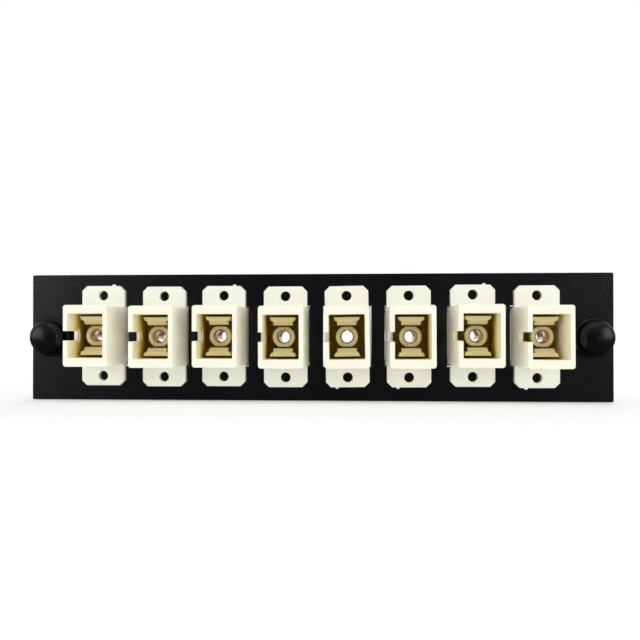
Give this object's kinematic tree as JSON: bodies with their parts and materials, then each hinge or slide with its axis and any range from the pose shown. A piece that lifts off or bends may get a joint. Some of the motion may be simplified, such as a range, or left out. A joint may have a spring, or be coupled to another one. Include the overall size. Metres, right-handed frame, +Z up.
{
  "type": "fibre adapter plate",
  "caption": "Flat black rack plate with a row of square cream fibre adapters held by spring clips, and a push-pull plunger latch at each end.",
  "frame": {"origin": "middle of the plate, on the plane where the front and rear halves of each adapter meet", "axes": "+X along the plate to the right as seen from the front, +Z up, front faces -Y"},
  "size_m": [0.1296, 0.0274, 0.0284],
  "materials": {
    "black_powder_coat": "satin powder coat",
    "cream_plastic": "semi-gloss moulded",
    "cream_insert_plastic": "semi-gloss moulded",
    "phosphor_bronze": "bright",
    "spring_steel": "bright rolled",
    "black_nylon": "moulded"
  },
  "bodies": {
    "panel": {"plate": "black_powder_coat", "adapter_1_front_housing": "cream_plastic", "adapter_1_rear_housing": "cream_plastic", "adapter_1_front_latch_insert": "cream_insert_plastic", "adapter_1_rear_latch_insert": "cream_insert_plastic", "adapter_1_split_sleeve": "phosphor_bronze", "adapter_1_spring_clip": "spring_steel", "adapter_2_front_housing": "cream_plastic", "adapter_2_rear_housing": "cream_plastic", "adapter_2_front_latch_insert": "cream_insert_plastic", "adapter_2_rear_latch_insert": "cream_insert_plastic", "adapter_2_split_sleeve": "phosphor_bronze", "adapter_2_spring_clip": "spring_steel", "adapter_3_front_housing": "cream_plastic", "adapter_3_rear_housing": "cream_plastic", "adapter_3_front_latch_insert": "cream_insert_plastic", "adapter_3_rear_latch_insert": "cream_insert_plastic", "adapter_3_split_sleeve": "phosphor_bronze", "adapter_3_spring_clip": "spring_steel", "adapter_4_front_housing": "cream_plastic", "adapter_4_rear_housing": "cream_plastic", "adapter_4_front_latch_insert": "cream_insert_plastic", "adapter_4_rear_latch_insert": "cream_insert_plastic", "adapter_4_split_sleeve": "phosphor_bronze", "adapter_4_spring_clip": "spring_steel", "adapter_5_front_housing": "cream_plastic", "adapter_5_rear_housing": "cream_plastic", "adapter_5_front_latch_insert": "cream_insert_plastic", "adapter_5_rear_latch_insert": "cream_insert_plastic", "adapter_5_split_sleeve": "phosphor_bronze", "adapter_5_spring_clip": "spring_steel", "adapter_6_front_housing": "cream_plastic", "adapter_6_rear_housing": "cream_plastic", "adapter_6_front_latch_insert": "cream_insert_plastic", "adapter_6_rear_latch_insert": "cream_insert_plastic", "adapter_6_split_sleeve": "phosphor_bronze", "adapter_6_spring_clip": "spring_steel", "adapter_7_front_housing": "cream_plastic", "adapter_7_rear_housing": "cream_plastic", "adapter_7_front_latch_insert": "cream_insert_plastic", "adapter_7_rear_latch_insert": "cream_insert_plastic", "adapter_7_split_sleeve": "phosphor_bronze", "adapter_7_spring_clip": "spring_steel", "adapter_8_front_housing": "cream_plastic", "adapter_8_rear_housing": "cream_plastic", "adapter_8_front_latch_insert": "cream_insert_plastic", "adapter_8_rear_latch_insert": "cream_insert_plastic", "adapter_8_split_sleeve": "phosphor_bronze", "adapter_8_spring_clip": "spring_steel", "left_latch_grommet": "black_nylon", "right_latch_grommet": "black_nylon"},
    "left_plunger": {"left_latch_plunger": "black_nylon"},
    "right_plunger": {"right_latch_plunger": "black_nylon"}
  },
  "joints": [
    {"name": "left_plunger_pull", "type": "slide", "parent": "panel", "child": "left_plunger", "axis": [0, -1, 0], "range_m": [0, 0.0055]},
    {"name": "right_plunger_pull", "type": "slide", "parent": "panel", "child": "right_plunger", "axis": [0, -1, 0], "range_m": [0, 0.0055]}
  ]
}
